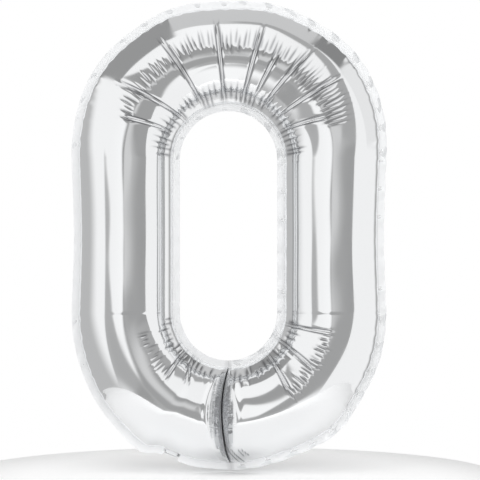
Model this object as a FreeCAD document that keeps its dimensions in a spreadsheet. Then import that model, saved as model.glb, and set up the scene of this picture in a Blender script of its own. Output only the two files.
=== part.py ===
"""Inflated foil number balloon, the numeral zero.

Two metallised film panels are heat-sealed to each other along the outer outline, along the rim of the
hole and across the tube at the foot. Gas makes them a closed tube that runs once round the numeral.
A flat two-ply check valve enters at the foot through a narrow tail, which folds back behind the tube.

Frame: +Z up, the numeral faces -Y, +X is to the reader's right. The origin is the middle of the
footprint: the lowest point of the outline is at Z = 0 and the seam plane is Y = 0. Millimetres.
"""
import FreeCAD, Part
import math
import os

import Sketcher

V = FreeCAD.Vector
PARTS_FOLDER = "parts"
START, END, CENTRE = 1, 2, 3
ORIGIN, HORIZONTAL_AXIS, VERTICAL_AXIS = -1, -1, -2

DIMENSIONS = (
    ("tube_radius", 89.0, "radius of the inflated tube"),
    ("bend_radius", 194.0, "centreline radius of the round top and foot"),
    ("leg_length", 286.0, "straight length of each side"),
    ("flange_width", 13.5, "flat margin outside the tube"),
    ("film_thickness", 0.8, "panel film, thickened from 0.04"),
    ("seal_thickness", 1.0, "fused layer between the panels"),
    ("seal_width", 5.0, "width of each heat seal"),
    ("pinch_offset", 26.0, "tube end to the foot's centre line"),
    ("pinch_reach", 22.0, "length of each rounded tube end"),
    ("tail_angle", 22.0, "tail from the foot's centre line, degrees"),
    ("tail_width", 25.0, "width of the filling tail"),
    ("notch_width", 28.0, "notch in the margin for the tail"),
    ("notch_margin", 6.0, "margin left between the tube and the notch"),
    ("tail_gap", 2.0, "notch to the tail's fold line"),
    ("tail_root", 1.5, "fold line to the end of the tail's plies"),
    ("tail_standoff", 3.0, "tube to the tail's middle layer"),
    ("tail_wrap", 28.0, "arc of the tail that lies round the tube, degrees"),
    ("ply_thickness", 0.45, "one ply of the tail or the valve"),
    ("ply_gap", 0.05, "half the passage between the valve's plies"),
    ("valve_width", 19.0, "width of the flat valve"),
    ("valve_reach", 100.0, "length of the valve inside the tube"),
    ("valve_root", 1.0, "fixed end of the front ply inside the tube"),
    ("flap_gap", 0.5, "slot between that end and the free front ply"),
)

doc = FreeCAD.newDocument("foil_number_balloon")


# ---------------------------------------------------------------- driving sizes
class Size:
    """A length or an angle, held both as a number and as a formula over the spreadsheet's cells."""

    def __init__(self, value, text=None):
        self.value = value
        self.text = text or repr(value)

    def join(self, sign, other, value):
        return Size(value, f"({self.text} {sign} {as_size(other).text})")

    def __add__(self, other):
        return self.join("+", other, self.value + as_size(other).value)

    def __sub__(self, other):
        return self.join("-", other, self.value - as_size(other).value)

    def __mul__(self, other):
        return self.join("*", other, self.value * as_size(other).value)

    def __truediv__(self, other):
        return self.join("/", other, self.value / as_size(other).value)

    def __neg__(self):
        return Size(-self.value, f"(-{self.text})")


def as_size(number):
    return number if isinstance(number, Size) else Size(number)


def degrees(number):
    return Size(number.value, f"({number.text} * 1 deg)")


def sine(angle):
    return Size(math.sin(math.radians(angle.value)), f"sin({angle.text})")


def cosine(angle):
    return Size(math.cos(math.radians(angle.value)), f"cos({angle.text})")


def arc_sine(ratio):
    return Size(math.degrees(math.asin(ratio.value)), f"asin({ratio.text})")


def arc_cosine(ratio):
    return Size(math.degrees(math.acos(ratio.value)), f"acos({ratio.text})")


def other_side(longest, side):
    """The third side of a right triangle."""
    value = math.sqrt(longest.value**2 - side.value**2)
    return Size(value, f"sqrt({(longest * longest - side * side).text})")


def make_sheet():
    """Writes the driving dimensions, one row each, and returns them by name."""
    sheet = doc.addObject("Spreadsheet::Sheet", "dims")
    sizes = {}
    for row, (alias, value, note) in enumerate(DIMENSIONS, start=1):
        sheet.set(f"A{row}", note)
        sheet.set(f"B{row}", str(value))
        sheet.setAlias(f"B{row}", alias)
        sizes[alias] = Size(value, f"dims.{alias}")
    doc.recompute()
    return sizes


S = make_sheet()
OUTER_RADIUS = S["bend_radius"] + S["tube_radius"] + S["flange_width"]
HOLE_RADIUS = S["bend_radius"] - S["tube_radius"] - S["flange_width"]
WALL_RADIUS = S["bend_radius"] + S["tube_radius"]
HOLE_WALL_RADIUS = S["bend_radius"] - S["tube_radius"]
TOP_HEIGHT = OUTER_RADIUS + S["leg_length"]
HALF_SEAL = S["seal_thickness"] / 2
NECK_RADIUS = WALL_RADIUS + S["notch_margin"]
PINCH_ANGLE = arc_sine(S["pinch_offset"] / S["bend_radius"])
SWEEP = Size(90.0, "90 deg") - PINCH_ANGLE


# ---------------------------------------------------------------- sketches
def new_body(label):
    body = doc.addObject("PartDesign::Body", label)
    body.Label = label
    return body


def origin_plane(body, role):
    return next(feature for feature in body.Origin.OriginFeatures if feature.Role == role)


def new_sketch(body, name, plane, offset):
    """A sketch on one of the body's own origin planes, moved along that plane's normal."""
    sketch = body.newObject("Sketcher::SketchObject", name)
    sketch.AttachmentSupport = (origin_plane(body, plane), [""])
    sketch.MapMode = "FlatFace"
    sketch.setExpression("AttachmentOffset.Base.z", as_size(offset).text)
    doc.recompute()
    return sketch


def hold(sketch, kind, *where, name=None, size=None):
    """Adds a constraint and, where it has a size, names it and binds it to the spreadsheet."""
    if size is None:
        sketch.addConstraint(Sketcher.Constraint(kind, *where))
        return
    value = math.radians(size.value) if kind == "Angle" else size.value
    index = sketch.addConstraint(Sketcher.Constraint(kind, *where, value))
    sketch.renameConstraint(index, name)
    sketch.setExpression(f"Constraints.{name}", size.text)


def add_arc(sketch, x, y, radius, start, end):
    """An arc, counter-clockwise between two angles in degrees."""
    circle = Part.Circle(V(x, y, 0), V(0, 0, 1), radius)
    return sketch.addGeometry(Part.ArcOfCircle(circle, math.radians(start), math.radians(end)))


def add_line(sketch, x0, y0, x1, y1):
    return sketch.addGeometry(Part.LineSegment(V(x0, y0, 0), V(x1, y1, 0)))


def draw_stadium(sketch, name, radius):
    """Two half circles about the bend centres, joined by straight sides."""
    size, low, high = radius.value, OUTER_RADIUS.value, TOP_HEIGHT.value
    top = add_arc(sketch, 0, high, size, 0, 180)
    foot = add_arc(sketch, 0, low, size, 180, 360)
    right = add_line(sketch, size, low, size, high)
    left = add_line(sketch, -size, high, -size, low)
    hold(sketch, "Tangent", foot, END, right, START)
    hold(sketch, "Tangent", right, END, top, START)
    hold(sketch, "Tangent", top, END, left, START)
    hold(sketch, "Tangent", left, END, foot, START)
    hold(sketch, "PointOnObject", top, CENTRE, VERTICAL_AXIS)
    hold(sketch, "PointOnObject", foot, CENTRE, VERTICAL_AXIS)
    hold(sketch, "Vertical", right)
    hold(sketch, "DistanceY", ORIGIN, START, foot, CENTRE, name=f"{name}_low", size=OUTER_RADIUS)
    hold(sketch, "DistanceY", ORIGIN, START, top, CENTRE, name=f"{name}_high", size=TOP_HEIGHT)
    hold(sketch, "Radius", top, name=f"{name}_radius", size=radius)


def draw_half_margin(sketch):
    """The +X half of the flat sheet: the outline outside, the hole's edge inside, cut at x = 0."""
    low, high = OUTER_RADIUS.value, TOP_HEIGHT.value
    outside, inside = OUTER_RADIUS.value, HOLE_RADIUS.value
    loop = [
        add_arc(sketch, 0, low, outside, 270, 360),
        add_line(sketch, outside, low, outside, high),
        add_arc(sketch, 0, high, outside, 0, 90),
        add_line(sketch, 0, high + outside, 0, high + inside),
        add_arc(sketch, 0, high, inside, 0, 90),
        add_line(sketch, inside, high, inside, low),
        add_arc(sketch, 0, low, inside, 270, 360),
        add_line(sketch, 0, low - inside, 0, low - outside),
    ]
    foot, side, top, head, rim_top, rim_side, rim_foot, heel = loop
    hold(sketch, "Tangent", foot, END, side, START)
    hold(sketch, "Tangent", side, END, top, START)
    hold(sketch, "Coincident", top, END, head, START)
    hold(sketch, "Coincident", head, END, rim_top, END)
    hold(sketch, "Tangent", rim_top, START, rim_side, START)
    hold(sketch, "Tangent", rim_side, END, rim_foot, END)
    hold(sketch, "Coincident", rim_foot, START, heel, START)
    hold(sketch, "Coincident", heel, END, foot, START)
    for line in (head, heel):
        hold(sketch, "PointOnObject", line, START, VERTICAL_AXIS)
        hold(sketch, "PointOnObject", line, END, VERTICAL_AXIS)
    for arc in (foot, top):
        hold(sketch, "PointOnObject", arc, CENTRE, VERTICAL_AXIS)
    hold(sketch, "Coincident", rim_top, CENTRE, top, CENTRE)
    hold(sketch, "Coincident", rim_foot, CENTRE, foot, CENTRE)
    hold(sketch, "Vertical", side)
    hold(sketch, "Vertical", rim_side)
    hold(sketch, "DistanceY", ORIGIN, START, foot, CENTRE, name="low", size=OUTER_RADIUS)
    hold(sketch, "DistanceY", ORIGIN, START, top, CENTRE, name="high", size=TOP_HEIGHT)
    hold(sketch, "Radius", top, name="outside", size=OUTER_RADIUS)
    hold(sketch, "Radius", rim_top, name="inside", size=HOLE_RADIUS)


def draw_half_disc(sketch, radius):
    """The back half of the tube's section, flat on the face of the fused layer."""
    size, across, flat = radius.value, S["bend_radius"].value, HALF_SEAL.value
    arc = add_arc(sketch, across, flat, size, 0, 180)
    chord = add_line(sketch, across - size, flat, across + size, flat)
    hold(sketch, "Coincident", arc, END, chord, START)
    hold(sketch, "Coincident", arc, START, chord, END)
    hold(sketch, "Horizontal", chord)
    hold(sketch, "PointOnObject", arc, CENTRE, chord)
    hold(sketch, "DistanceX", ORIGIN, START, arc, CENTRE, name="across", size=S["bend_radius"])
    hold(sketch, "DistanceY", ORIGIN, START, arc, CENTRE, name="flat", size=HALF_SEAL)
    hold(sketch, "Radius", arc, name="radius", size=radius)


def draw_rectangle(sketch, half_width, low, high):
    """A rectangle about the vertical axis, between two heights below the sketch's origin."""
    across, bottom, top = half_width.value, -low.value, -high.value
    foot = add_line(sketch, -across, bottom, across, bottom)
    right = add_line(sketch, across, bottom, across, top)
    head = add_line(sketch, across, top, -across, top)
    left = add_line(sketch, -across, top, -across, bottom)
    for side, following in ((foot, right), (right, head), (head, left), (left, foot)):
        hold(sketch, "Coincident", side, END, following, START)
    for side, kind in ((right, "Vertical"), (head, "Horizontal"), (left, "Vertical")):
        hold(sketch, kind, side)
    hold(sketch, "Symmetric", foot, START, foot, END, VERTICAL_AXIS)
    hold(sketch, "DistanceX", foot, START, foot, END, name="width", size=half_width * 2)
    hold(sketch, "DistanceY", foot, START, ORIGIN, START, name="low", size=low)
    hold(sketch, "DistanceY", head, START, ORIGIN, START, name="high", size=high)


# ---------------------------------------------------------------- features
def extrude(body, kind, sketch, length, reverse=False):
    feature = body.newObject(f"PartDesign::{kind}", f"{sketch.Name}_{kind.lower()}")
    feature.Profile = sketch
    feature.Reversed = reverse
    feature.setExpression("Length", length.text)
    doc.recompute()
    return feature


def turn(body, kind, sketch, angle, reverse):
    """Revolves or grooves a sketch about its own vertical axis."""
    feature = body.newObject(f"PartDesign::{kind}", f"{sketch.Name}_{kind.lower()}")
    feature.Profile = sketch
    feature.ReferenceAxis = (sketch, ["V_Axis"])
    feature.Reversed = reverse
    feature.setExpression("Angle", angle.text)
    doc.recompute()
    return feature


def round_end(body, kind, radius, reach):
    """A quarter of an ellipsoid that closes the half tube beside the foot's centre line."""
    cap = body.newObject(f"PartDesign::{kind}Ellipsoid", f"{kind.lower()}_end")
    cap.AttachmentSupport = (origin_plane(body, "XY_Plane"), [""])
    cap.MapMode = "FlatFace"
    cap.AttachmentOffset = FreeCAD.Placement(V(1, 1, 1), FreeCAD.Rotation(V(0, 1, 0), 80))
    height = OUTER_RADIUS - other_side(S["bend_radius"], S["pinch_offset"])
    cap.setExpression("AttachmentOffset.Base.x", S["pinch_offset"].text)
    cap.setExpression("AttachmentOffset.Base.y", HALF_SEAL.text)
    cap.setExpression("AttachmentOffset.Base.z", height.text)
    cap.setExpression("AttachmentOffset.Rotation.Angle", SWEEP.text)
    cap.setExpression("Radius1", reach.text)
    cap.setExpression("Radius2", radius.text)
    cap.setExpression("Radius3", radius.text)
    cap.Angle2 = 0.0
    cap.Angle3 = 180.0
    doc.recompute()
    return cap


def half_tube(body, name, add, radius, reach):
    """The +X half of the tube as a solid, added to the body or taken away from it."""
    turned, straight, cap = ("Groove", "Pocket", "Subtractive")
    if add:
        turned, straight, cap = ("Revolution", "Pad", "Additive")
    sketches = []
    for place, height in (("top", TOP_HEIGHT), ("leg", OUTER_RADIUS), ("foot", OUTER_RADIUS)):
        sketch = new_sketch(body, f"{name}_{place}", "XY_Plane", height)
        draw_half_disc(sketch, radius)
        sketches.append(sketch)
    top, leg, foot = sketches
    turn(body, turned, top, Size(90.0, "90 deg"), reverse=True)
    extrude(body, straight, leg, S["leg_length"], reverse=not add)
    turn(body, turned, foot, SWEEP, reverse=False)
    round_end(body, cap, radius, reach)


def mirror_body(body, name):
    """Repeats everything in the body on the other side of its YZ plane."""
    mirrored = body.newObject("PartDesign::Mirrored", name)
    mirrored.TransformMode = "Whole shape"
    mirrored.MirrorPlane = (origin_plane(body, "YZ_Plane"), [""])
    body.Tip = mirrored
    doc.recompute()


def stand_at_neck(item):
    """Puts an object's own frame at the foot's bend centre, with -Z along the tail's direction."""
    item.Placement = FreeCAD.Placement(V(0, 0, 1), FreeCAD.Rotation(V(0, 1, 0), 20))
    item.setExpression("Placement.Base.z", OUTER_RADIUS.text)
    item.setExpression("Placement.Rotation.Angle", degrees(S["tail_angle"]).text)


def neck_block(label, half_width, near, far):
    """A block across the seam plane at the neck, between two distances from the foot's bend centre."""
    body = new_body(label)
    sketch = new_sketch(body, f"{label}_outline", "XZ_Plane", -S["seal_thickness"] * 3)
    draw_rectangle(sketch, half_width, far, near)
    extrude(body, "Pad", sketch, S["seal_thickness"] * 6)
    stand_at_neck(body)
    return body


def cut(label, base, tool):
    """base with tool taken away."""
    result = doc.addObject("Part::Cut", label)
    result.Label = label
    result.Base = base
    result.Tool = tool
    doc.recompute()
    return result


# ---------------------------------------------------------------- foil panels
def make_panels():
    """The back panel is a flat margin with the inflated half tube raised on it; the front mirrors it.

    Both margins are notched at the neck, where the tail folds.
    """
    back = new_body("inflated_half")
    margin = new_sketch(back, "margin", "XZ_Plane", -HALF_SEAL)
    draw_half_margin(margin)
    extrude(back, "Pad", margin, S["film_thickness"], reverse=True)
    half_tube(back, "outside", True, S["tube_radius"], S["pinch_reach"])
    thickness = S["film_thickness"]
    half_tube(back, "inside", False, S["tube_radius"] - thickness, S["pinch_reach"] - thickness)
    mirror_body(back, "both_sides")
    notch = neck_block("notch", S["notch_width"] / 2, NECK_RADIUS, OUTER_RADIUS + S["flange_width"])
    panel = cut("back_panel", back, notch)
    front = doc.addObject("Part::Mirroring", "front_panel")
    front.Label = "front_panel"
    front.Source = panel
    front.Base = V(0, 0, 0)
    front.Normal = V(0, 1, 0)
    return [panel, front]


# ---------------------------------------------------------------- heat seals
def seal_band(label, inner, outer):
    """A flat band of fused film between two outlines of one shape."""
    body = new_body(label)
    sketch = new_sketch(body, f"{label}_outline", "XZ_Plane", -HALF_SEAL)
    draw_stadium(sketch, "outer", outer)
    draw_stadium(sketch, "inner", inner)
    extrude(body, "Pad", sketch, S["seal_thickness"])
    return body


def make_outer_seal():
    """The outer seal stops at both sides of the valve, where the film is left open."""
    band = seal_band("outer_band", WALL_RADIUS, WALL_RADIUS + S["seal_width"])
    inside = WALL_RADIUS - S["seal_width"]
    slot = neck_block("valve_slot", S["valve_width"] / 2, inside, inside + S["seal_width"] * 3)
    return cut("outer_seal", band, slot)


def make_cross_seal():
    """The seal across the tube at the foot, from the hole's seal to the outer one."""
    body = new_body("cross_seal")
    sketch = new_sketch(body, "cross_outline", "XZ_Plane", -HALF_SEAL)
    centre, half = OUTER_RADIUS.value, S["seal_width"].value / 2
    ends = []
    for radius in (HOLE_WALL_RADIUS.value, WALL_RADIUS.value):
        lean = math.degrees(math.asin(half / radius))
        ends.append(add_arc(sketch, 0, centre, radius, 270 - lean, 270 + lean))
    near, far = ends
    high, low = (centre - math.hypot(r.value, half) for r in (HOLE_WALL_RADIUS, WALL_RADIUS))
    left = add_line(sketch, -half, high, -half, low)
    right = add_line(sketch, half, high, half, low)
    for side, end in ((left, START), (right, END)):
        hold(sketch, "Coincident", near, end, side, START)
        hold(sketch, "Coincident", far, end, side, END)
        hold(sketch, "Vertical", side)
    hold(sketch, "Coincident", near, CENTRE, far, CENTRE)
    hold(sketch, "PointOnObject", near, CENTRE, VERTICAL_AXIS)
    hold(sketch, "DistanceY", ORIGIN, START, near, CENTRE, name="centre", size=OUTER_RADIUS)
    hold(sketch, "Radius", near, name="near", size=HOLE_WALL_RADIUS)
    hold(sketch, "Radius", far, name="far", size=WALL_RADIUS)
    hold(sketch, "DistanceX", left, START, ORIGIN, START, name="left", size=S["seal_width"] / 2)
    hold(sketch, "DistanceX", ORIGIN, START, right, START, name="right", size=S["seal_width"] / 2)
    extrude(body, "Pad", sketch, S["seal_thickness"])
    return body


# ---------------------------------------------------------------- valve
def flat_ply(label, far, near, front):
    """One ply of the valve between two distances from the foot's bend centre."""
    body = new_body(label)
    face = S["ply_gap"] if front else -S["ply_gap"] - S["ply_thickness"]
    sketch = new_sketch(body, f"{label}_outline", "XZ_Plane", face)
    draw_rectangle(sketch, S["valve_width"] / 2, far, near)
    extrude(body, "Pad", sketch, S["ply_thickness"])
    stand_at_neck(body)
    return body


def make_valve():
    """A fixed back ply, the front ply's fixed end in the neck, and the front ply's free length."""
    mouth = NECK_RADIUS
    inner_end = WALL_RADIUS - S["valve_reach"]
    root = WALL_RADIUS - S["valve_root"]
    return [
        flat_ply("valve_back_ply", mouth, inner_end, front=False),
        flat_ply("valve_neck_ply", mouth, root, front=True),
        flat_ply("valve_front_ply", root - S["flap_gap"], inner_end, front=True),
    ]


# ---------------------------------------------------------------- tail
def draw_tail_layer(sketch, low, high):
    """One layer of the folded tail: straight from the fold line, then round the back of the tube.

    low and high are the layer's faces, measured away from the tube from the tail's middle layer.
    """
    middle = S["tube_radius"] + S["tail_standoff"]
    fold = S["tube_radius"] + S["notch_margin"] + S["tail_gap"]
    lean = arc_cosine(middle / fold)
    run = other_side(fold, middle) - S["tail_root"]
    height = -S["bend_radius"].value
    along = V(math.cos(math.radians(lean.value)), math.sin(math.radians(lean.value)), 0)
    out = V(along.y, -along.x, 0)
    end = FreeCAD.Rotation(V(0, 0, 1), S["tail_wrap"].value).multVec(out)
    bends, straights, tips, roots = [], [], [], []
    for radius in (middle + low, middle + high):
        touch = V(0, height, 0) + out * radius.value
        roots.append(touch - along * run.value)
        tips.append(V(0, height, 0) + end * radius.value)
        turned = 270 + lean.value
        bends.append(add_arc(sketch, 0, height, radius.value, turned, turned + S["tail_wrap"].value))
        straights.append(add_line(sketch, roots[-1].x, roots[-1].y, touch.x, touch.y))
        hold(sketch, "Tangent", straights[-1], END, bends[-1], START)
    tip = add_line(sketch, tips[0].x, tips[0].y, tips[1].x, tips[1].y)
    root = add_line(sketch, roots[0].x, roots[0].y, roots[1].x, roots[1].y)
    for side, end in ((0, START), (1, END)):
        hold(sketch, "Coincident", bends[side], END, tip, end)
        hold(sketch, "Coincident", straights[side], START, root, end)
    hold(sketch, "Coincident", bends[0], CENTRE, bends[1], CENTRE)
    hold(sketch, "PointOnObject", bends[0], CENTRE, VERTICAL_AXIS)
    hold(sketch, "PointOnObject", bends[0], CENTRE, tip)
    hold(sketch, "Perpendicular", root, straights[0])
    hold(sketch, "Parallel", straights[0], straights[1])
    hold(sketch, "DistanceY", bends[0], CENTRE, ORIGIN, START, name="centre", size=S["bend_radius"])
    hold(sketch, "Radius", bends[0], name="low", size=middle + low)
    hold(sketch, "Radius", bends[1], name="high", size=middle + high)
    hold(sketch, "Distance", straights[0], name="run", size=run)
    hold(sketch, "Angle", bends[0], name="wrap", size=degrees(S["tail_wrap"]))
    hold(sketch, "Angle", straights[0], name="lean", size=lean)


def tail_layer(label, low, high, offset, width):
    """A layer as wide as stated, its near side at an offset from the tail's centre line."""
    body = new_body(label)
    sketch = new_sketch(body, f"{label}_section", "YZ_Plane", offset)
    draw_tail_layer(sketch, low, high)
    extrude(body, "Pad", sketch, width)
    stand_at_neck(body)
    return body


def make_tail():
    """Two outer plies, the valve's mouth between them, and a seal down each side."""
    gap, ply = S["ply_gap"], S["ply_thickness"]
    outer = gap + ply * 2
    inner = gap + ply
    tail, valve = S["tail_width"], S["valve_width"]
    margin = (tail - valve) / 2
    return [
        tail_layer("tail_front_ply", -outer, -inner, -tail / 2, tail),
        tail_layer("valve_mouth_front_ply", -inner, -gap, -valve / 2, valve),
        tail_layer("valve_mouth_back_ply", gap, inner, -valve / 2, valve),
        tail_layer("tail_back_ply", inner, outer, -tail / 2, tail),
        tail_layer("tail_left_seal", -inner, inner, -tail / 2, margin),
        tail_layer("tail_right_seal", -inner, inner, valve / 2, margin),
    ]


# ---------------------------------------------------------------- check and export
def check_and_export(parts):
    """Stops on a failed object or an unsound solid, then writes one STEP file for each sub-part."""
    doc.recompute()
    for item in doc.Objects:
        if {"Invalid", "Error"} & set(item.State):
            raise RuntimeError(f"{item.Label} failed: {item.State}")
    os.makedirs(PARTS_FOLDER, exist_ok=True)
    for part in parts:
        shape = part.Shape
        if shape.isNull() or not shape.isValid() or len(shape.Solids) != 1:
            raise RuntimeError(f"{part.Label} is not one valid solid")
        box = shape.optimalBoundingBox()
        print(
            f"{part.Label:22s} volume {shape.Volume:10.1f} mm3  "
            f"x {box.XMin:7.1f}..{box.XMax:6.1f}  y {box.YMin:6.1f}..{box.YMax:5.1f}  "
            f"z {box.ZMin:6.1f}..{box.ZMax:6.1f}"
        )
        shape.exportStep(os.path.join(PARTS_FOLDER, f"{part.Label}.step"))


PARTS = make_panels()
PARTS.append(make_outer_seal())
PARTS.append(seal_band("hole_seal", HOLE_WALL_RADIUS - S["seal_width"], HOLE_WALL_RADIUS))
PARTS.append(make_cross_seal())
PARTS += make_valve()
PARTS += make_tail()
check_and_export(PARTS)
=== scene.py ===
"""Visual model of an inflated foil number balloon, the numeral zero.

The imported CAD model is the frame: +Z up, the numeral's front faces -Y, metres. Every visible piece is a
surface worked out with numpy in that frame. The two foil panels are one closed film each: an outer wall
with the pleats, folds and the crumpled cross seam, and a plain inner wall just under it.
"""

import logging
import math
from dataclasses import dataclass, field
from enum import Enum

import bpy
import numpy as np
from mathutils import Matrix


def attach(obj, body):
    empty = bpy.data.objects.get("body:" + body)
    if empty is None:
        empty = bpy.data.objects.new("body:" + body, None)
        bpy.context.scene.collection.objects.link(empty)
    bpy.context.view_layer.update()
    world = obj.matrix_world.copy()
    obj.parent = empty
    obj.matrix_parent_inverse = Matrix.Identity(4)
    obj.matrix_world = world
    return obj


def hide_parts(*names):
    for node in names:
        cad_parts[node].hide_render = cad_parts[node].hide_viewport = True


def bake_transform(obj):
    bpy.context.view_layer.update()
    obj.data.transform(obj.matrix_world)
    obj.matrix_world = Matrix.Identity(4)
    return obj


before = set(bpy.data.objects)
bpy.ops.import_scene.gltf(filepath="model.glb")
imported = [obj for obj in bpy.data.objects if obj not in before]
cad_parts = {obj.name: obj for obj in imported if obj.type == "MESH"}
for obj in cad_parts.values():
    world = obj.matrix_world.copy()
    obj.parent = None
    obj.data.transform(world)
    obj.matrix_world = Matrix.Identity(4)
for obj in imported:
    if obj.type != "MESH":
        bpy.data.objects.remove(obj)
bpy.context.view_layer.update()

MM = 0.001
LOG = logging.getLogger("foil_numeral")


class Side(Enum):
    """Which of the two panels: the sign of Y on its outside."""

    FRONT = -1
    BACK = 1


class FoldKind(Enum):
    """How the film stands along a fold line."""

    GROOVE = "a sharp groove"
    PINCHED = "a narrow ridge between two grooves"


# ---------------------------------------------------------------- small helpers
def smooth_step(low: float, high: float, value: np.ndarray) -> np.ndarray:
    """Rises from 0 at low to 1 at high along 3t^2 - 2t^3.

    Args:
        low: where the rise starts.
        high: where it ends; it may be below low for a fall.
        value: the numbers to map.

    Returns:
        The mapped numbers, between 0 and 1.
    """
    t = np.clip((value - low) / (high - low), 0.0, 1.0)
    return t * t * (3.0 - 2.0 * t)


def hill(value: np.ndarray, middle: float | np.ndarray, width: float) -> np.ndarray:
    """A Gaussian hill of height 1: exp(-((value - middle) / width)^2)."""
    return np.exp(-(((value - middle) / width) ** 2))


def wave(distance: np.ndarray, length: float, shift: float | np.ndarray) -> np.ndarray:
    """A sine that repeats over a length: sin(2 pi distance / length + shift)."""
    return np.sin(distance * 2 * math.pi / length + shift)


def linear_colour(hex_code: str) -> tuple[float, float, float, float]:
    """Turns an sRGB hex colour such as "#E8E9EB" into linear red, green, blue and alpha.

    Args:
        hex_code: the colour as # and six digits.

    Returns:
        Linear values with alpha 1.
    """
    srgb = [int(hex_code[i : i + 2], 16) / 255.0 for i in (1, 3, 5)]
    red, green, blue = (c / 12.92 if c <= 0.04045 else ((c + 0.055) / 1.055) ** 2.4 for c in srgb)
    return (red, green, blue, 1.0)


def grid_piece(
    name: str,
    points: np.ndarray,
    closed_along: bool,
    flip: bool,
    values: dict[str, np.ndarray] | None = None,
) -> bpy.types.Object:
    """Makes a mesh from a grid of points whose second direction always closes on itself.

    The quad between columns i and i + 1 and rows j and j + 1 joins their four points. Where the first
    direction is open, its two ends are closed with one face each.

    Args:
        name: the piece's name.
        points: array of shape (columns, rows, 3), in metres.
        closed_along: whether the last column joins the first.
        flip: turns every face over, so that it points outwards.
        values: named numbers, one for each point, that the finishes read.

    Returns:
        The new object, linked to the scene.
    """
    columns, rows = points.shape[:2]
    index = np.arange(columns * rows).reshape(columns, rows)
    here = index if closed_along else index[:-1]
    ahead = np.roll(index, -1, axis=0) if closed_along else index[1:]
    quads = np.stack([here, ahead, np.roll(ahead, -1, axis=1), np.roll(here, -1, axis=1)], axis=-1)
    quads = quads.reshape(-1, 4)
    if flip:
        quads = quads[:, ::-1]
    corners, starts = quads.reshape(-1), np.arange(len(quads)) * 4
    totals = np.full(len(quads), 4)
    if not closed_along:
        first, last = index[0], index[-1][::-1]
        if flip:
            first, last = first[::-1], last[::-1]
        corners = np.concatenate([corners, first, last])
        starts = np.concatenate([starts, [len(quads) * 4, len(quads) * 4 + rows]])
        totals = np.concatenate([totals, [rows, rows]])
    mesh = bpy.data.meshes.new(name)
    mesh.vertices.add(columns * rows)
    mesh.vertices.foreach_set("co", points.reshape(-1).astype(np.float32))
    mesh.loops.add(len(corners))
    mesh.loops.foreach_set("vertex_index", corners.astype(np.int32))
    mesh.polygons.add(len(starts))
    mesh.polygons.foreach_set("loop_start", starts.astype(np.int32))
    mesh.polygons.foreach_set("loop_total", totals.astype(np.int32))
    mesh.polygons.foreach_set("use_smooth", np.ones(len(starts), dtype=bool))
    mesh.update(calc_edges=True)
    mesh.validate()
    for key, numbers in (values or {}).items():
        layer = mesh.attributes.new(key, "FLOAT", "POINT")
        layer.data.foreach_set("value", numbers.reshape(-1).astype(np.float32))
    piece = bpy.data.objects.new(name, mesh)
    bpy.context.scene.collection.objects.link(piece)
    return piece


def stand_in(piece: bpy.types.Object, material: bpy.types.Material, node: str) -> None:
    """Dresses a piece, puts it in place of a plain node and reports it.

    Args:
        piece: the new piece.
        material: its finish.
        node: the plain node that it stands for.
    """
    piece.data.materials.append(material)
    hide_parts(node)
    LOG.info("%s: %d faces", piece.name, len(piece.data.polygons))


# ---------------------------------------------------------------- finishes
def add_node(
    tree: bpy.types.NodeTree,
    kind: str,
    settings: dict[str, object] | None = None,
    inputs: dict[str | int, object] | None = None,
) -> bpy.types.Node:
    """Adds a node, sets its properties, and sets or links its inputs.

    Args:
        tree: the node tree.
        kind: the node's type name.
        settings: properties of the node by name.
        inputs: a value or an output socket for each input, by name or number.

    Returns:
        The new node.
    """
    node = tree.nodes.new(kind)
    for key, value in (settings or {}).items():
        setattr(node, key, value)
    for key, value in (inputs or {}).items():
        if isinstance(value, bpy.types.NodeSocket):
            tree.links.new(value, node.inputs[key])
        else:
            node.inputs[key].default_value = value
    return node


def new_material(name: str) -> tuple[bpy.types.Material, bpy.types.NodeTree, bpy.types.Node]:
    """A new material with an empty tree and a Principled shader on its output.

    Args:
        name: the material's name.

    Returns:
        The material, its node tree and the shader.
    """
    material = bpy.data.materials.new(name)
    material.use_nodes = True
    tree = material.node_tree
    tree.nodes.clear()
    shader = add_node(tree, "ShaderNodeBsdfPrincipled")
    add_node(tree, "ShaderNodeOutputMaterial", inputs={"Surface": shader.outputs["BSDF"]})
    return material, tree, shader


def textured(tree: bpy.types.NodeTree, shader: bpy.types.Node, height: bpy.types.NodeSocket, depth: float,
             cloud: bpy.types.NodeSocket, roughness: float) -> None:
    """Bumps a surface, and varies its roughness by 0.08 to either side.

    Args:
        tree: the material's node tree.
        shader: its shader.
        height: the pattern of the bumps.
        depth: their height in metres.
        cloud: the pattern of the roughness.
        roughness: its middle value.
    """
    bump = add_node(tree, "ShaderNodeBump", inputs={"Height": height, "Distance": depth})
    rough = add_node(tree, "ShaderNodeMapRange", inputs={
        "Value": cloud, "To Min": roughness - 0.08, "To Max": roughness + 0.08})
    tree.links.new(bump.outputs["Normal"], shader.inputs["Normal"])
    tree.links.new(rough.outputs["Result"], shader.inputs["Roughness"])


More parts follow.
